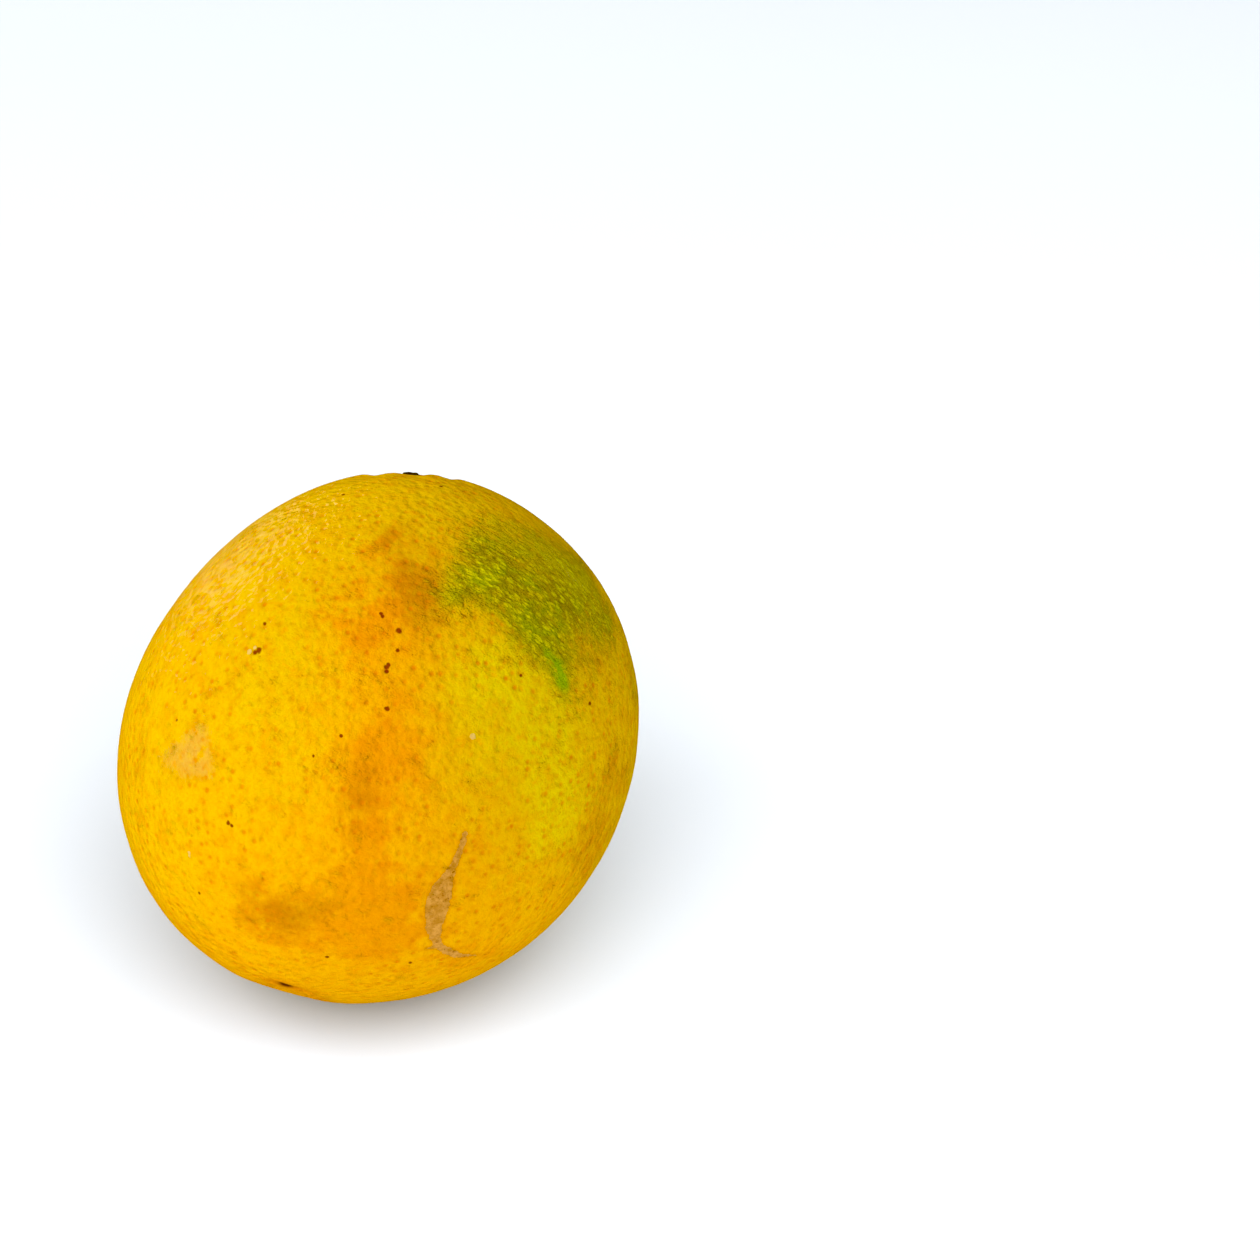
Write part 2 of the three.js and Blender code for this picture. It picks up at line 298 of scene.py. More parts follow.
class Fruit:
    """The peel's smooth surface, lying in the frame, in millimetres."""

    def __init__(self, shape):
        """Works out the mean radius and the basin's edges, and settles the fruit in its place."""
        self.shape = shape
        self.radius = (2 * shape.width + shape.length) / 6
        self.basin_floor = shape.calyx_radius + shape.basin_margin
        self.basin_rim = self.basin_floor + shape.basin_wall
        self.middle = np.zeros(3)
        self.middle = self.settled()

    def settled(self):
        """Where the fruit's middle lies: over the middle of the CAD fruit's box, with the tops level."""
        rows = np.linspace(0, pi, BOX_ROWS)
        columns = np.linspace(0, 2 * pi, BOX_COLUMNS, endpoint=False)
        sample = self.skin(*(grid.ravel() for grid in np.meshgrid(rows, columns)))
        low, high = (np.array(corner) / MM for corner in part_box("fruit"))
        middle = (low + high - sample.min(0) - sample.max(0)) / 2
        middle[2] = high[2] - sample[:, 2].max()
        return middle

    def plain_radius(self, towards):
        """Half the width, plus half of length less width times z^2, plus the shoulder's lift times 2 z times
        the part towards the shoulder, plus each swelling's rise times e^((cos of the angle to it - 1) over
        its spread squared)."""
        s = self.shape
        radius = s.width / 2 + (s.length - s.width) / 2 * towards[..., 2] ** 2
        radius += s.shoulder_lift * 2 * towards[..., 2] * (towards @ level(s.shoulder_towards))
        for colatitude, longitude, rise, spread in SWELLINGS:
            top = unit_vectors(np.radians(colatitude), np.radians(longitude))
            radius += rise * np.exp((towards @ top - 1) / radians(spread) ** 2)
        return radius

    def from_navel(self, colatitude):
        """The distance along the peel from the navel's middle."""
        return self.radius * (pi - colatitude)

    def ring(self, longitude):
        """How far the navel's ring furrow is from its middle: its radius times 1 + oval cos 2l."""
        return self.shape.ring_radius * (1 + self.shape.ring_oval * np.cos(2 * longitude))

    def sink(self, colatitude, longitude):
        """How far the stem basin, its furrows, the navel's dish and its ring furrow sink: smooth steps and
        bumps of the distance along the peel from the stem and from the navel."""
        s = self.shape
        from_stem = self.radius * colatitude
        from_navel = self.from_navel(colatitude)
        groove = 0.5 + 0.5 * np.cos(s.furrow_count * longitude)
        return (
            s.basin_depth * (1 - smooth(from_stem, self.basin_floor, self.basin_rim))
            + s.furrow_depth * groove * bump(from_stem - self.basin_rim - s.furrow_start, s.furrow_spread)
            + s.dish_depth * (1 - smooth(from_navel, 0, s.dish_radius))
            + s.ring_depth * bump(from_navel - self.ring(longitude), s.ring_width)
        )

    def skin(self, colatitude, longitude, height=0.0):
        """Points a height above the skin: the direction, bent with the core by navel_offset (1 - cos c) / 2,
        times the plain radius less the sink plus the height, then tipped over as the fruit lies."""
        s = self.shape
        bend = s.navel_offset * (1 - np.cos(colatitude)) / 2
        towards = turned(unit_vectors(colatitude, longitude), level(s.navel_towards - pi / 2), bend)
        radius = self.plain_radius(towards) - self.sink(colatitude, longitude) + height
        tipped = turned(towards * radius[..., None], level(s.lean_towards + pi / 2), s.core_lean)
        return tipped + self.middle

    def places(self, degrees):
        """Points of the skin at colatitudes and longitudes given in degrees."""
        return self.skin(*np.radians(np.asarray(degrees, float)).T)


def peel_grid(steps, crowding):
    """The corners and squares of a ball made of six square grids: a point of a cube's face at tan(pi u / 4),
    tan(pi v / 4) is moved out to the ball. The colatitude c is then c - crowding sin(2c) / 2, which draws the
    rows towards the stem and the navel."""
    line = np.arange(steps + 1)
    u, v = (grid.ravel() for grid in np.meshgrid(line, line, indexing="ij"))
    start = (np.arange(steps)[:, None] * (steps + 1) + np.arange(steps)).ravel()
    square = np.stack([start, start + steps + 1, start + steps + 2, start + 1], 1)
    corners, squares = [], []
    for axis in range(3):
        for side in (0, steps):
            face = np.empty((len(u), 3), int)
            face[:, axis], face[:, axis - 2], face[:, axis - 1] = side, u, v
            squares.append((square if side else square[:, ::-1]) + len(face) * len(corners))
            corners.append(face)
    lattice, shared = np.unique(np.concatenate(corners), axis=0, return_inverse=True)
    ball = np.tan(pi / 4 * (2 * lattice / steps - 1))
    ball /= np.linalg.norm(ball, axis=1, keepdims=True)
    colatitude = np.arccos(np.clip(ball[:, 2], -1, 1))
    colatitude -= crowding * np.sin(2 * colatitude) / 2
    return colatitude, np.arctan2(ball[:, 1], ball[:, 0]), shared.ravel()[np.concatenate(squares)]


def washed(fruit, points, patches, wander):
    """How strongly a wash colours each point: the sum of each patch's strength times a bump of the distance
    from it, with the points first moved about so that the patches have ragged edges."""
    total = np.zeros(len(points))
    for colatitude, longitude, spread, strength in patches:
        middle = fruit.places([(colatitude, longitude)])
        total += strength * bump(np.linalg.norm(points + wander - middle, axis=1), spread)
    return total


def to_scar(fruit, points):
    """The distance from each point to the scar's edge, less than 0 inside it: the least, over the stretches
    of its lines, of the distance to the stretch less the half width there."""
    nearest = np.full(len(points), np.inf)
    for line in SCAR:
        line = np.array(line, float)
        marks = fruit.places(line[:, :2])
        for start, end, wide, narrow in zip(marks, marks[1:], line[:, 2], line[1:, 2]):
            along = np.clip((points - start) @ (end - start) / ((end - start) @ (end - start)), 0, 1)
            aside = np.linalg.norm(points - start - along[:, None] * (end - start), axis=1)
            nearest = np.minimum(nearest, aside - (wide + (narrow - wide) * along))
    return nearest


def pitted(points, texture, rough):
    """How deep the pits over the oil glands and the hollows between the broader bumps are: a bump of the
    distance to the nearest gland, and a share of one drifting number, both deeper on rougher peel."""
    pits = bump(to_nearest_pore(points / texture.spacing, texture.scatter), texture.pit_width)
    hollows = (1 + drift(points / texture.pebble_size)[:, 0]) / 2
    return (pits * texture.pit_depth + hollows * texture.pebble_depth) * rough


def navel_marks(fruit, colatitude, longitude):
    """The fold at the navel's edge, from 0 to 1, the dark crust in its opening and in the ring furrow, the
    crust in the opening being painted shade, and the flush round both. Each is made of bumps of the
    distance from the navel's middle and of the turn round it from the opening. The fold slants: it nears the
    navel as it goes round."""
    from_navel = fruit.from_navel(colatitude)
    ring = fruit.ring(longitude)
    turn = np.angle(np.exp(1j * (longitude - FOLD.towards)))
    slit = bump(from_navel - FOLD.out + FOLD.slant * turn, FOLD.width) * bump(turn - FOLD.lag, FOLD.run)
    opening = bump(from_navel - FOLD.out, FOLD.crust_width) * bump(turn, FOLD.crust_run)
    furrow = bump(from_navel - 0.9 * ring, FOLD.ring_crust)
    round_ring = bump(from_navel - 1.2 * ring, FOLD.ring_flush)
    round_opening = bump(from_navel - FOLD.out, FOLD.flush) * bump(turn, FOLD.run)
    # The crust in the fold's opening is painted shade; in the ring furrow it is dark crust.
    return slit, 1.8 * opening + 0.6 * furrow, 0.5 * round_ring + round_opening + 0.7 * slit


def rested(points):
    """Points kept above the floor, flat where the fruit rests: z becomes (z + sqrt(z^2 + rounding^2)) / 2."""
    points[:, 2] = (points[:, 2] + np.hypot(points[:, 2], REST_ROUNDING)) / 2
    return points


def steps(start, end, count):
    """Numbers spaced evenly from a start to an end, each on a row of its own."""
    return np.linspace(start, end, count)[:, None]


def calyx_outline(calyx_radius, calyx, around):
    """The calyx's outline as rows of a distance from the stem and a height over the skin, all the way round:
    along the underside, round the rim, over the lobes, up the stalk, over the edge of the cut and in. The rim
    is the radius less the notch depth times 1 - (1/2 + 1/2 cos of lobes times the longitude)^0.8, made a
    little uneven."""
    reach = 0.5 + 0.5 * np.cos(calyx.lobes * around)
    uneven = 1 - 0.06 * (1 + np.cos(around * 2 + 1)) / 2 - 0.05 * (1 + np.cos(around * 3 + 4)) / 2
    rim = (calyx_radius - calyx.notch_depth * (1 - reach**0.8)) * uneven
    half, flare, bevel = calyx.edge / 2, DETAIL.flare, DETAIL.bevel
    low, top, cut = calyx.gap, calyx.gap + calyx.crown, calyx.gap + calyx.stalk_height
    foot = calyx.stalk_radius + flare
    ribs = DETAIL.rib * np.cos(15 * around + 2 * np.sin(3 * around))
    flutes = DETAIL.flute * np.cos(9 * around)
    rays = DETAIL.ray * np.cos(22 * around)

    under = steps(0, 1, 14)[1:-1]
    turn = steps(0, pi, 7)
    over = steps(1, 0, 26)[1:]
    up = steps(0, 1, 8)[1:]
    edge = steps(0, pi / 2, 5)[1:]
    inwards = steps(1, 0, 14)[1:-1]
    lobe = low + calyx.edge + (calyx.crown - calyx.edge) * (1 - over) ** 1.5
    droop = DETAIL.droop * (1 - reach) * over
    hollow = DETAIL.hollow * (1 - inwards**2) + DETAIL.pith * bump(inwards, DETAIL.pith_share)
    stretches = (
        (rim * under, low + DETAIL.arch),
        (rim - half * (1 - np.sin(turn)), low + half * (1 - np.cos(turn))),
        (foot + (rim - half - foot) * over, lobe + ribs * np.sin(pi * over) - droop),
        (foot - flare * np.sin(pi / 2 * up) + flutes, top + (cut - bevel - top) * up),
        (foot - flare - bevel * (1 - np.cos(edge)) + flutes, cut - bevel * (1 - np.sin(edge))),
        ((foot - flare - bevel) * inwards, cut - hollow - rays * np.sin(pi * inwards)),
    )
    rows = [np.broadcast_arrays(distance, height, around[None])[:2] for distance, height in stretches]
    return [np.concatenate(part) for part in zip(*rows)]


def capped_faces(rows, columns):
    """The faces of a closed surface of rows of points, whose ends close on two last points: the middle of its
    underside, and the middle of its top."""
    row = np.arange(rows - 1)[:, None] * columns
    here = np.arange(columns)
    there = (here + 1) % columns
    corners = [row + columns + here, row + columns + there, row + there, row + here]
    bottom = np.full(columns, rows * columns)
    last = (rows - 1) * columns
    faces = np.stack(corners, -1).reshape(-1, 4).tolist()
    faces += np.stack([bottom, here, there], 1).tolist()
    faces += np.stack([bottom + 1, last + there, last + here], 1).tolist()
    return faces


# ---- Meshes ----


def mesh_object(name, points, faces):
    """A smooth mesh object at the origin, from points in millimetres."""
    mesh = bpy.data.meshes.new(name)
    mesh.from_pydata((points * MM).tolist(), [], faces)
    mesh.shade_smooth()
    made = bpy.data.objects.new(name, mesh)
    bpy.context.scene.collection.objects.link(made)
    return made


def store(made, name, numbers):
    """Keeps one number at each corner of a mesh, for its material to read."""
    attribute = made.data.attributes.new(name, "FLOAT", "POINT")
    attribute.data.foreach_set("value", np.asarray(numbers, np.float32))


# ---- Shader formulas ----


class Field:
    """A node's output that can stand in a formula: each operator adds the Math node for it."""

    def __init__(self, paint, socket):
        self.paint, self.socket = paint, socket

    def math(self, operation, first, second):
        """Adds a Math node, and returns its value."""
        inputs = {"Value": first, "Value_001": second}
        return self.paint.field("ShaderNodeMath", "Value", {"operation": operation}, inputs)

    def __add__(self, other):
        return self.math("ADD", self, other)

    def __sub__(self, other):
        return self.math("SUBTRACT", self, other)

    def __mul__(self, other):
        return self.math("MULTIPLY", self, other)

    def __radd__(self, other):
        return self.math("ADD", other, self)

    def __rsub__(self, other):
        return self.math("SUBTRACT", other, self)

    def __rmul__(self, other):
        return self.math("MULTIPLY", other, self)

    def most(self, other):
        """The greater of two numbers."""
        return self.math("MAXIMUM", self, other)

    def least(self, other):
        """The lesser of two numbers."""
        return self.math("MINIMUM", self, other)

    def rise(self, low, high):
        """0 at low and 1 at high, smooth between them; low may be above high."""
        inputs = {"Value": self, "From Min": low, "From Max": high}
        return self.paint.field("ShaderNodeMapRange", "Result", {"interpolation_type": "SMOOTHSTEP"}, inputs)


class Paint:
    """The nodes of one material or world."""

    def __init__(self, made):
        self.made = made
        made.use_nodes = True
        self.tree = made.node_tree
        self.tree.nodes.clear()

    def node(self, kind, settings, inputs):
        """Adds a node. Its settings are set first, then its inputs, by identifier, get values or links."""
        made = self.tree.nodes.new(kind)
        for key, value in settings.items():
            setattr(made, key, value)
        sockets = {socket.identifier: socket for socket in made.inputs}
        for key, value in inputs.items():
            if isinstance(value, Field):
                self.tree.links.new(value.socket, sockets[key])
            elif sockets[key].type == "RGBA":
                sockets[key].default_value = (*value[:3], 1.0)
            else:
                sockets[key].default_value = value
        return made

    def output(self, node, name):
        """One of a node's outputs, by identifier."""
        return Field(self, next(socket for socket in node.outputs if socket.identifier == name))

    def field(self, kind, output, settings, inputs):
        """Adds a node, and returns one of its outputs, by identifier."""
        return self.output(self.node(kind, settings, inputs), output)

    def vector(self, operation, output, first, second=(0, 0, 0), scale=1.0):
        """Adds a Vector Math node, and returns one of its outputs."""
        inputs = {"Vector": first, "Vector_001": second, "Scale": scale}
        return self.field("ShaderNodeVectorMath", output, {"operation": operation}, inputs)

    def place(self):
        """The object's own coordinates, in millimetres."""
        place = self.field("ShaderNodeTexCoord", "Object", {}, {})
        return self.vector("SCALE", "Vector", place, scale=1 / MM)

    def stored(self, name):
        """A number kept at the mesh's corners."""
        return self.field("ShaderNodeAttribute", "Fac", {"attribute_name": name}, {})

    def clouds(self, where, size, detail=2.0, roughness=0.5, warp=0.0):
        """Soft noise round 0.5, with clouds of about a size in millimetres."""
        inputs = {"Vector": where, "Scale": 1 / size, "Detail": detail}
        inputs |= {"Roughness": roughness, "Distortion": warp}
        return self.field("ShaderNodeTexNoise", "Fac", {}, inputs)

    def cells(self, where, spacing, scatter):
        """Points scattered about a grid: how far the nearest is, as a part of their spacing, and a random
        number of its own."""
        inputs = {"Vector": where, "Scale": 1 / spacing, "Randomness": scatter}
        node = self.node("ShaderNodeTexVoronoi", {}, inputs)
        chance = self.field("ShaderNodeSeparateColor", "Red", {}, {"Color": self.output(node, "Color")})
        return self.output(node, "Distance"), chance

    def drawn_out(self, where, along, amount):
        """Places squeezed along a direction, so that a pattern read at them is drawn out along it."""
        part = self.vector("DOT_PRODUCT", "Value", where, along)
        shift = self.vector("SCALE", "Vector", along, scale=part * amount)
        return self.vector("SUBTRACT", "Vector", where, shift)

    def coats(self, colour, *coats):
        """A colour with others laid over it in turn, each by its own part, which is kept between 0 and 1."""
        settings = {"data_type": "RGBA", "clamp_factor": True}
        for part, coat in coats:
            inputs = {"Factor_Float": part, "A_Color": colour, "B_Color": coat}
            colour = self.field("ShaderNodeMix", "Result_Color", settings, inputs)
        return colour

    def relief(self, height, strength):
        """The normal of a surface raised by a height in millimetres."""
        inputs = {"Strength": strength, "Distance": MM, "Height": height}
        return self.field("ShaderNodeBump", "Normal", {}, inputs)

    def finish(self, colour, roughness, specular, **more):
        """Ends the material in a Principled shader."""
        inputs = {"Base Color": colour, "Roughness": roughness, "Specular IOR Level": specular, **more}
        shader = self.field("ShaderNodeBsdfPrincipled", "BSDF", {}, inputs)
        self.node("ShaderNodeOutputMaterial", {}, {"Surface": shader})
        return self.made


def peel_patterns(paint, texture):
    """The patterns that the peel's layers share: clouds from broad to fine, torn and ragged edges, the oil
    glands of ripe peel, and the creases and raised glands of green peel, both drawn out."""
    place = paint.place()
    cloud = paint.clouds(place, 6, 5, 0.65)
    mottle = paint.clouds(place, 2.6, 4, 0.65)
    grain = paint.clouds(place, 0.5, 2)
    to_gland, luck = paint.cells(place, texture.spacing, texture.scatter)
    drawn = paint.drawn_out(place, STREAKS, STREAK_DRAW)
    streak = paint.clouds(drawn, 1.1, 3, 0.65)
    to_dome, plump = paint.cells(drawn, texture.dome_spacing, 1.0)
    dome = (to_dome + (streak - 0.5) * 0.5 - plump * 0.35).rise(0.42, 0.02)
    return SimpleNamespace(
        place=place,
        broad=paint.clouds(place, 16, 3),
        cloud=cloud,
        mottle=mottle,
        grain=grain,
        torn=(cloud - 0.5) * 2.2 + (mottle - 0.5) * 0.8,
        ragged=0.4 + 1.2 * mottle,
        dot=(to_gland + (grain - 0.5) * 0.15).rise(0.45, 0.08) * luck,
        dimple=to_gland.rise(0, 0.75),
        streak=streak,
        dome=dome * plump.rise(0.25, 0.6),
    )


def ripe_colour(paint, at, wash, colours):
    """Golden peel with washes of amber, orange and lemon, old bruises and painted shade, and rubbed skin."""
    rubbed = (wash["russet"] * (1 + at.torn)).rise(0.1, 1.1) * at.mottle.rise(0.25, 0.5)
    return paint.coats(
        colours.golden,
        (wash["amber"] * at.ragged + (at.broad - 0.5) * 0.8, colours.amber),
        ((wash["blush"] * (1 + 1.3 * at.torn) + at.torn * 0.5).rise(0.1, 1), colours.orange),
        ((wash["lemon"] + at.torn * 0.4).rise(0, 1.1) * 0.85, colours.lemon),
        # Old bruises, and painted shade on the right side.
        ((wash["bruise"] * (1 + at.torn) + at.torn * 0.2).rise(0, 1) * 0.85, colours.bruise),
        (rubbed * 0.9, colours.russet),
    )


def green_colour(paint, at, wash, colours):
    """Green peel: olive and moss, with a dull bloom and painted sheen, painted shade in the creases, painted
    highlights on the ridges, and raised glands that are paler and carry a painted highlight.
    """
    return paint.coats(
        colours.olive,
        (paint.clouds(at.place, 4.5, 3).rise(0.42, 0.62), colours.moss),
        # Dull bloom and painted sheen near the top of the green peel.
        ((wash["dust"] + at.torn * 0.5).rise(0.1, 0.9) * 0.8, colours.dust),
        # Painted shade in the creases of the green peel.
        (at.streak.rise(0.46, 0.3) * 0.6, colours.furrow),
        # Painted highlight on the ridges of the green peel.
        (at.streak.rise(0.54, 0.7) * 0.7, colours.lemon),
        # Raised glands of green peel: paler in their own colour, with a painted highlight on them.
        (at.dome * 0.9, colours.gland),
    )


def gland_colour(paint, at, ripe, colour, colours):
    """Ripe peel's orange flecks, its oil glands, darker in their own colour and with painted shade in their
    pits, and the mottling and fine grain between them.
    """
    fleck = (paint.clouds(at.place, 1.6, 3, 0.6) + (at.cloud - 0.5) * 0.5).rise(0.56, 0.7)
    return paint.coats(
        colour,
        (fleck * ripe * 0.35, colours.orange),
        # The oil glands' own darker colour, and painted shade in the pits over them.
        (at.dot * ripe * at.broad.rise(0.33, 0.55) * 0.9, colours.pore),
        ((at.mottle - 0.45) * 1.5 * ripe, colours.pore),
        ((at.grain - 0.42) * 0.7 * ripe, colours.pore),
    )


def scar_colour(paint, at, edge, flaky, colour, colours):
    """A corky scar over a colour, blotched and speckled, with flushed peel along its edge."""
    cork = paint.coats(
        colours.cork,
        (paint.clouds(at.place, 1.1, 3, 0.7).rise(0.35, 0.65), colours.cork_dark),
        (flaky.rise(0.6, 0.7) * 0.8, colours.speck),
    )
    flush = (edge.rise(0.6, -0.1) * 0.6, colours.flush)
    return paint.coats(colour, flush, (edge.rise(*SCAR_EDGE) * 0.95, cork))


def specks(paint, fruit, at, marks):
    """A mask of small round marks with ragged edges."""
    mask = 0.0
    for colatitude, longitude, radius in marks:
        middle = fruit.places([(colatitude, longitude)])[0]
        away = paint.vector("DISTANCE", "Value", at.place, tuple(middle))
        ragged = away + (at.grain - 0.5) * radius
        mask = ragged.rise(radius * 1.2, radius * 0.6).most(mask)
    return mask


def peel_material(fruit, texture, colours):
    """Ripe citrus peel: golden with washes of orange, olive and lemon, dotted with oil glands that carry
    painted shade.
    """
    paint = Paint(bpy.data.materials.new("citrus_peel"))
    at = peel_patterns(paint, texture)
    wash = {name: paint.stored(name) for name in WASHES}
    green = (wash["olive"] * 0.62 + at.torn * 0.5 + (at.streak - 0.5) * 0.8).rise(0.05, 1.05)
    ripe = 1 - green
    edge = paint.stored("scar") + (paint.clouds(at.place, 0.9, 3, 0.7) - 0.5) * 1.1
    flaky = paint.clouds(at.place, 0.6, 3, 0.7)
    scar = edge.rise(*SCAR_EDGE)
    # Dark crust in the navel's ring furrow, and painted shade in the fold's opening.
    crust = (paint.stored("crust") * (0.6 + at.mottle)).least(1)
    speck = specks(paint, fruit, at, SPECKS)
    pale = specks(paint, fruit, at, PALE_SPECKS_AND_HIGHLIGHTS)

    colour = paint.coats(
        ripe_colour(paint, at, wash, colours),
        (green, green_colour(paint, at, wash, colours)),
        ((wash["leaf"] + at.torn * 0.4).rise(0.2, 1.1) * (0.9 - at.dome * 0.5), colours.leaf),
    )
    colour = gland_colour(paint, at, ripe, colour, colours)
    colour = scar_colour(paint, at, edge, flaky, colour, colours)
    colour = paint.coats(
        colour,
        (paint.stored("navel") * at.ragged, colours.flush),
        (crust, colours.crust),
        (paint.stored("stem_ring") * at.ragged, colours.stem_ring),
        # Pale dry specks, and a painted highlight beside the double dark speck.
        (pale * 0.3, colours.pale_speck),
        (speck * 0.92, colours.speck),
    )
    height = (
        green * (at.dome * RELIEF.dome + at.streak * RELIEF.crease)
        + ripe * (at.dimple * RELIEF.dimple - at.dot * RELIEF.dot)
        + at.grain * RELIEF.grain
        + at.mottle * RELIEF.mottle
        + scar * (flaky * RELIEF.flake - RELIEF.scar)
        + (pale - speck) * RELIEF.speck
    )
    roughness = 0.3 + scar * 0.3 + crust * 0.3 + speck * 0.2
    return paint.finish(colour, roughness, 0.08, Normal=paint.relief(height, 1.0))


def calyx_material(colours):
    """Dry, dark, fibrous skin of the calyx, paler where the stalk is cut."""
    paint = Paint(bpy.data.materials.new("dry_calyx"))
    place = paint.place()
    fibre = paint.clouds(place, 0.35, 4, 0.65, 0.4)
    blotch = paint.clouds(place, 1.4, 3)
    colour = paint.coats(
        colours.calyx,
        (blotch.rise(0.35, 0.65), colours.calyx_pale),
        (paint.stored("cut") * 0.8, colours.cut_wood),
        (fibre.rise(0.42, 0.7) * 0.6, colours.calyx_pale),
        (paint.stored("pith"), colours.calyx),
    )
    normal = paint.relief(fibre * 0.3 + blotch * 0.2, 0.8)
    return paint.finish(colour, 0.62 + fibre * 0.3, 0.02, Normal=normal)


def floor_material(colours):
    """Smooth pale studio floor, with the faintest clouding."""
    paint = Paint(bpy.data.materials.new("pale_floor"))
    haze = paint.clouds(paint.place(), 300, 2)
    return paint.finish(paint.coats(colours.floor, (haze, colours.floor_pale)), 0.7 + haze * 0.05, 0.1)


def white_room(brightness, gloss):
    """A plain white room: white paper to the eye, less bright as a light, and dimmer still in reflections."""
    paint = Paint(bpy.data.worlds.new("white_room"))
    ray = paint.node("ShaderNodeLightPath", {}, {})
    seen = paint.output(ray, "Is Camera Ray")
    glossy = paint.output(ray, "Is Glossy Ray")
    strength = brightness + (1 - brightness) * seen - (brightness - gloss) * glossy
    light = paint.field("ShaderNodeBackground", "Background", {}, {"Color": (1, 1, 1), "Strength": strength})
    paint.node("ShaderNodeOutputWorld", {}, {"Surface": light})
    return paint.made


# ---- Settings ----


def length(name, description, millimetres):
    """A length setting, kept in metres."""
    default = millimetres * MM
    return FloatProperty(name=name, description=description, default=default, unit="LENGTH", precision=5)


def angle(name, description, degrees):
    """An angle setting, kept in radians."""
    return FloatProperty(name=name, description=description, default=radians(degrees), subtype="ANGLE")


def share(name, description, default):
    """A setting from 0 to 1."""
    limits = {"min": 0, "max": 1}
    return FloatProperty(name=name, description=description, default=default, subtype="FACTOR", **limits)


def number(name, description, default, unit="NONE"):
    """A plain number, or one in a unit."""
    return FloatProperty(name=name, description=description, default=default, unit=unit)


def count(name, description, default):
    """A whole number."""
    return IntProperty(name=name, description=description, default=default)


def tint(name, description, code):
    """A colour setting, from its usual six-figure code."""
    parts = [(code >> places & 255) / 255 for places in (16, 8, 0)]
    linear = [part / 12.92 if part <= 0.04045 else ((part + 0.055) / 1.055) ** 2.4 for part in parts]
    limits = {"min": 0, "max": 1}
    return FloatVectorProperty(name=name, description=description, default=linear, subtype="COLOR", **limits)


def read(group):
    """A group's values by name, with lengths in millimetres and angles in radians."""
    found = SimpleNamespace()
    for key in group.__annotations__:
        value = getattr(group, key)
        if group.bl_rna.properties[key].unit == "LENGTH":
            value /= MM
        setattr(found, key, value)
    return found


class OrangeShape(PropertyGroup):
    """Sizes of the fruit: the same as the frame's."""

    width: length("Width", "Across the core", 76.4)
    length: length("Length", "Along the core", 81.6)
    shoulder_lift: length("Shoulder lift", "How much higher one shoulder stands", 2.1)
    shoulder_towards: angle("Shoulder towards", "Longitude of the high shoulder", 4)
    navel_offset: angle("Navel offset", "How far the core bends from the stem to the navel", 13)
    navel_towards: angle("Navel towards", "Longitude that the core bends to", -160)
    core_lean: angle("Core lean", "Angle of the core from upright as the fruit lies", 35.5)
    lean_towards: angle("Lean towards", "Heading that the stem leans to", 73.7)
    basin_margin: length("Basin margin", "Floor left clear round the calyx", 0.6)
    basin_wall: length("Basin wall", "From the edge of the basin's floor to its rim", 3.4)
    basin_depth: length("Basin depth", "Depth of the basin round the stem", 1.5)
    furrow_count: count("Furrows", "Furrows round the basin", 8)
    furrow_depth: length("Furrow depth", "Depth of the furrows round the basin", 0.35)
    furrow_start: length("Furrow start", "From the rim to where the furrows are deepest", 1)
    furrow_spread: length("Furrow spread", "How far the furrows run", 3.5)
    dish_radius: length("Dish radius", "Radius of the shallow dish round the navel", 9)
    dish_depth: length("Dish depth", "Depth of the shallow dish round the navel", 0.4)
    ring_radius: length("Ring radius", "Radius of the navel's ring furrow", 3.6)
    ring_oval: share("Ring oval", "How far the ring furrow is from round", 0.14)
    ring_width: length("Ring width", "Width of the ring furrow", 1.1)
    ring_depth: length("Ring depth", "Depth of the ring furrow", 1.1)
    calyx_radius: length("Calyx radius", "To the tips of the calyx's lobes", 4)


class PeelTexture(PropertyGroup):
    """The peel's oil glands, its creases and its gentle unevenness."""

    spacing: length("Gland spacing", "Distance between oil glands", 1.3)
    scatter: share("Gland scatter", "How far the glands are from an even pattern", 0.85)
    pit_depth: length("Pit depth", "Depth of the pits in the mesh over the glands", 0.07)
    pit_width: share("Pit width", "Spread of a pit, as a part of the gland spacing", 0.4)
    pebble_size: length("Pebble size", "Distance between the peel's broader bumps", 5)
    pebble_depth: length("Pebble depth", "Depth of the hollows between those bumps", 0.14)
    dome_spacing: length("Dome spacing", "Distance between the raised glands of green peel", 0.62)
    steps: count("Steps", "Squares along each side of the peel's six grids", 128)
    crowding: share("Crowding", "How far the grids' rows are drawn towards the stem and the navel", 0.15)


class CalyxShape(PropertyGroup):
    """The calyx and the cut stalk."""

    notch_depth: length("Notch depth", "How far the notches between the lobes reach in", 1.4)
    edge: length("Edge", "Thickness at the lobes' tips", 0.5)
    crown: length("Crown", "Thickness round the stalk", 0.7)
    lobes: count("Lobes", "Number of lobes", 5)
    stalk_radius: length("Stalk radius", "Radius of the cut stalk", 1.1)
    stalk_height: length("Stalk height", "From the calyx's underside to the cut", 1.0)
    gap: length("Gap", "Clearance over the skin", 0.3)
    columns: count("Columns", "Points round the calyx", 200)


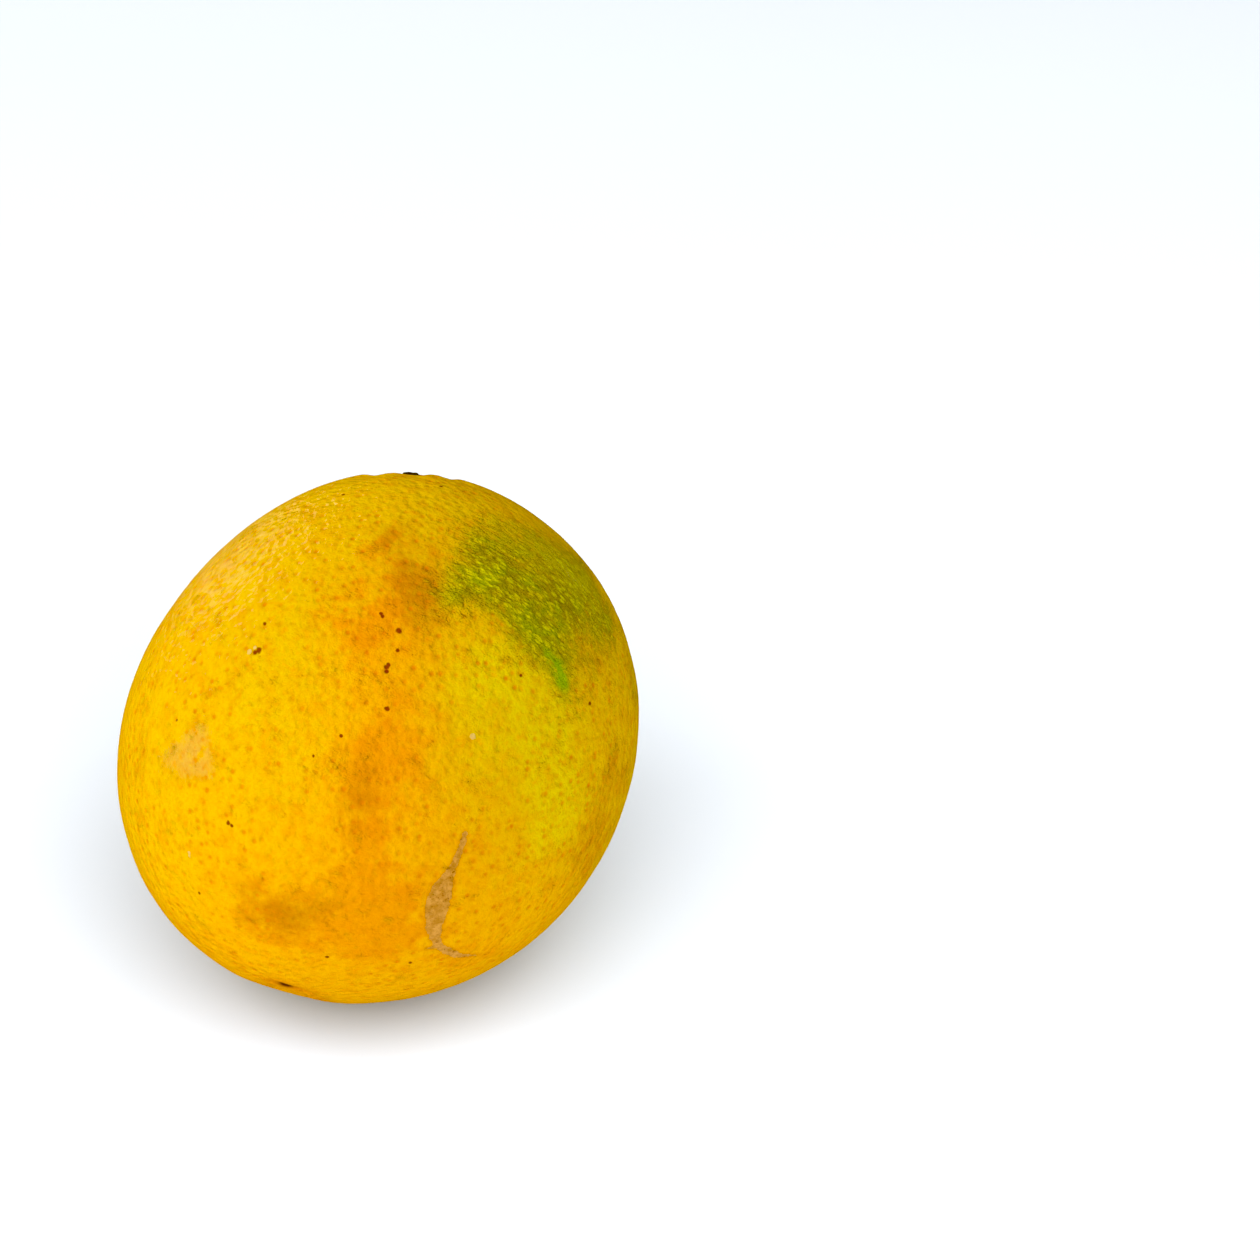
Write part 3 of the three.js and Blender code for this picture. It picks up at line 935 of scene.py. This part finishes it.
class OrangeColours(PropertyGroup):
    """Colours of the peel, the calyx and the floor."""

    golden: tint("Golden", "Main colour of the peel", 0xE6B802)
    amber: tint("Amber", "Riper peel", 0xF0AC02)
    orange: tint("Orange", "Ripest peel", 0xEC9602)
    # Peel that is still turning, and a painted highlight on the ridges of green peel.
    lemon: tint("Lemon", "Peel that is still turning, and ridges of green peel", 0xE8CC02)
    olive: tint("Olive", "Peel that is still green", 0xA89404)
    moss: tint("Moss", "Greener patches of that peel", 0xA8AA08)
    # Painted shade in the creases between the bumps of green peel.
    furrow: tint("Furrow", "Creases between the bumps of green peel", 0x786A02)
    leaf: tint("Leaf", "The greenest peel", 0xA0C832)
    # Dull bloom and painted sheen over the green peel.
    dust: tint("Dust", "Dull bloom over the green", 0xD2BE44)
    bruise: tint("Bruise", "Old bruises", 0xC07804)
    russet: tint("Russet", "Rubbed skin", 0xE0AC44)
    # Raised glands of green peel: their own paler colour and a painted highlight.
    pore: tint("Pore", "Oil glands in ripe peel", 0xDE7A02)
    # Darker orange of the ripe peel's oil glands, which also paints the shade in their pits.
    gland: tint("Gland", "Oil glands in green peel", 0xE4DA2C)
    cork: tint("Cork", "The scar", 0xDC9C4C)
    cork_dark: tint("Dark cork", "Darker spots of the scar", 0xBE7E30)
    flush: tint("Flush", "Reddened peel along the scar and round the navel", 0xDC8404)
    # Pale dry specks, and a painted highlight beside the double dark speck.
    pale_speck: tint("Pale speck", "Small dry specks", 0xF0D8B0)
    # Dark crust in the navel's furrows, and painted shade in the fold's opening.
    crust: tint("Crust", "Dark crust in the navel's furrows", 0x5A1402)
    # Old bruises, and painted shade on the right side.
    stem_ring: tint("Stem ring", "Greyish peel round the calyx", 0x9A8438)
    speck: tint("Speck", "Small dark specks", 0x801400)
    calyx: tint("Calyx", "Dry calyx", 0x2E0C02)
    calyx_pale: tint("Pale calyx", "Worn edges of the calyx", 0x4E2C12)
    cut_wood: tint("Cut wood", "Cut face of the stalk", 0x6E4A24)
    floor: tint("Floor", "Studio floor", 0x94989C)
    floor_pale: tint("Pale floor", "Palest part of the floor", 0x989CA0)


class StudioLight(PropertyGroup):
    """The studio: how bright it is, and where the camera stands."""

    room: number("Room", "Brightness of the white room", 0.65)
    room_gloss: number("Room in gloss", "Brightness of the room in reflections", 0.05)
    key: number("Key", "Power of the large soft lamp on the left", 7, "POWER")
    rim: number("Rim", "Power of the soft lamp behind", 2.6, "POWER")
    floor_lamp: number("Floor lamp", "Power of the floor's own lamp", 135, "POWER")
    film_blue: number("Film blue", "Faintest blue that the film shows", 0.03)
    distance: length("Camera distance", "From the camera to the fruit's middle", 601.4)
    elevation: angle("Camera elevation", "How high the camera stands over the fruit", 33.5)
    pitch: angle("Camera pitch", "How far the camera looks down", 32)
    pan: angle("Camera pan", "How far the camera looks to the fruit's right", 4.3)
    aim_drop: length("Aim drop", "How far below its middle the fruit is sighted", 0.5)
    focal: number("Focal length", "Focal length of the camera", 114.3, "CAMERA")
    floor_size: length("Floor size", "Width of the floor", 4000)


# ---- Operators ----


class ORANGE_OT_peel(Operator):
    """Build the fruit's peel"""

    bl_idname = "orange.peel"
    bl_label = "Peel"

    def execute(self, context):
        scene = context.scene
        texture = read(scene.orange_texture)
        fruit = Fruit(read(scene.orange_shape))
        colatitude, longitude, squares = peel_grid(texture.steps, texture.crowding)
        bare = fruit.skin(colatitude, longitude)
        wander = sum(far * drift(bare / apart) for far, apart in WANDERS)
        marks = {name: washed(fruit, bare, patches, wander) for name, patches in WASHES.items()}
        slit, marks["crust"], marks["navel"] = navel_marks(fruit, colatitude, longitude)
        marks["stem_ring"] = 1 - smooth(fruit.radius * colatitude + 0.7 * wander[:, 1], *STEM_RING)

        depth = pitted(bare, texture, 1 + np.clip(marks["olive"], 0, 1)) + FOLD.depth * slit
        points = rested(fruit.skin(colatitude, longitude, -depth))
        marks["scar"] = to_scar(fruit, points)
        peel = mesh_object("peel", points, squares.tolist())
        for name, numbers in marks.items():
            store(peel, name, numbers)
        peel.data.materials.append(peel_material(fruit, texture, read(scene.orange_colours)))
        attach(peel, "root")
        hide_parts("fruit")
        return {"FINISHED"}


class ORANGE_OT_calyx(Operator):
    """Build the dry calyx with the cut stalk in its middle"""

    bl_idname = "orange.calyx"
    bl_label = "Calyx"

    def execute(self, context):
        scene = context.scene
        shape, calyx = read(scene.orange_shape), read(scene.orange_calyx)
        fruit = Fruit(shape)
        around = np.linspace(0, 2 * pi, calyx.columns, endpoint=False)
        distance, height = calyx_outline(shape.calyx_radius, calyx, around)
        rows = len(distance)
        low, cut = calyx.gap, calyx.gap + calyx.stalk_height
        distance = np.append(distance, (0, 0))
        height = np.append(height, (low + DETAIL.arch, cut - DETAIL.hollow - DETAIL.pith))
        longitude = np.append(np.tile(around, rows), (0, 0))
        points = fruit.skin(distance / fruit.radius, longitude, height)
        # The wrinkles start a little above the underside.
        wrinkled = smooth(height, low + 0.1, low + 0.4)[:, None]
        points += DETAIL.wrinkle * drift(points / DETAIL.wrinkle_size) * wrinkled

        button = mesh_object("calyx_button", points, capped_faces(rows, calyx.columns))
        inside = 1 - smooth(distance, calyx.stalk_radius - 0.25, calyx.stalk_radius)
        on_cut = smooth(height, cut - 0.3, cut - 0.2) * inside
        store(button, "cut", on_cut)
        store(button, "pith", on_cut * bump(distance, DETAIL.pith_spread))
        button.data.materials.append(calyx_material(read(scene.orange_colours)))
        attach(button, "root")
        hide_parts("calyx")
        return {"FINISHED"}


class ORANGE_OT_stage(Operator):
    """Set up the pale floor, the soft light and the camera"""

    bl_idname = "orange.stage"
    bl_label = "Stage"

    def execute(self, context):
        scene = context.scene
        studio = read(scene.orange_studio)
        low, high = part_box("fruit")
        aim = (low + high) / 2 - Vector((0, 0, studio.aim_drop * MM))
        floor = self.floor(studio.floor_size / 2, read(scene.orange_colours))
        lamps = {name: self.lamp(name, aim, getattr(studio, name)) for name in LAMPS}
        only = bpy.data.collections.new("floor_only")
        only.objects.link(floor)
        lamps["floor_lamp"].light_linking.receiver_collection = only

        scene.world = white_room(studio.room, studio.room_gloss)
        scene.view_settings.view_transform = "Standard"
        scene.view_settings.use_curve_mapping = True
        scene.view_settings.curve_mapping.black_level = (0, 0, studio.film_blue)
        scene.view_settings.curve_mapping.update()
        scene.camera = self.camera(aim, studio)
        return {"FINISHED"}

    def floor(self, half, colours):
        """The plain floor, which the fruit's gloss doesn't mirror."""
        corners = np.array([(-half, -half, 0), (half, -half, 0), (half, half, 0), (-half, half, 0)])
        floor = mesh_object("floor", corners, [(0, 1, 2, 3)])
        floor.data.materials.append(floor_material(colours))
        floor.visible_glossy = False
        return floor

    def lamp(self, name, aim, watts):
        """A square soft lamp at its place, facing the fruit."""
        away, width = LAMPS[name]
        light = bpy.data.lights.new(name, "AREA")
        light.size = width
        light.energy = watts
        lamp = bpy.data.objects.new(name, light)
        lamp.location = aim + Vector(away)
        lamp.rotation_euler = (-Vector(away)).to_track_quat("-Z", "Y").to_euler()
        bpy.context.scene.collection.objects.link(lamp)
        return lamp

    def camera(self, aim, studio):
        """The camera on its stand, in front of the fruit and above it."""
        camera = bpy.data.cameras.new("camera")
        camera.lens = studio.focal
        stand = bpy.data.objects.new("camera", camera)
        back = Vector((0, -cos(studio.elevation), sin(studio.elevation)))
        stand.location = aim + back * studio.distance * MM
        stand.rotation_euler = (pi / 2 - studio.pitch, 0, -studio.pan)
        bpy.context.scene.collection.objects.link(stand)
        return stand


class ORANGE_PT_panel(Panel):
    """Lists the orange's pieces and their settings."""

    bl_idname = "ORANGE_PT_panel"
    bl_label = "Navel Orange"
    bl_space_type = "VIEW_3D"
    bl_region_type = "UI"
    bl_category = "Orange"

    def draw(self, context):
        for operator in OPERATORS:
            self.layout.operator(operator.bl_idname)
        for name, group in GROUPS.items():
            box = self.layout.box()
            for key in group.__annotations__:
                box.prop(getattr(context.scene, name), key)


GROUPS = {
    "orange_shape": OrangeShape,
    "orange_texture": PeelTexture,
    "orange_calyx": CalyxShape,
    "orange_colours": OrangeColours,
    "orange_studio": StudioLight,
}
OPERATORS = (ORANGE_OT_stage, ORANGE_OT_peel, ORANGE_OT_calyx)
CLASSES = (*GROUPS.values(), *OPERATORS, ORANGE_PT_panel)


def register():
    for kind in CLASSES:
        bpy.utils.register_class(kind)
    for name, group in GROUPS.items():
        setattr(bpy.types.Scene, name, PointerProperty(type=group))


def unregister():
    for name in GROUPS:
        delattr(bpy.types.Scene, name)
    for kind in reversed(CLASSES):
        bpy.utils.unregister_class(kind)


def main():
    """Makes the stage and the pieces."""
    register()
    bpy.ops.orange.stage()
    bpy.ops.orange.peel()
    bpy.ops.orange.calyx()


if __name__ == "__main__":
    main()
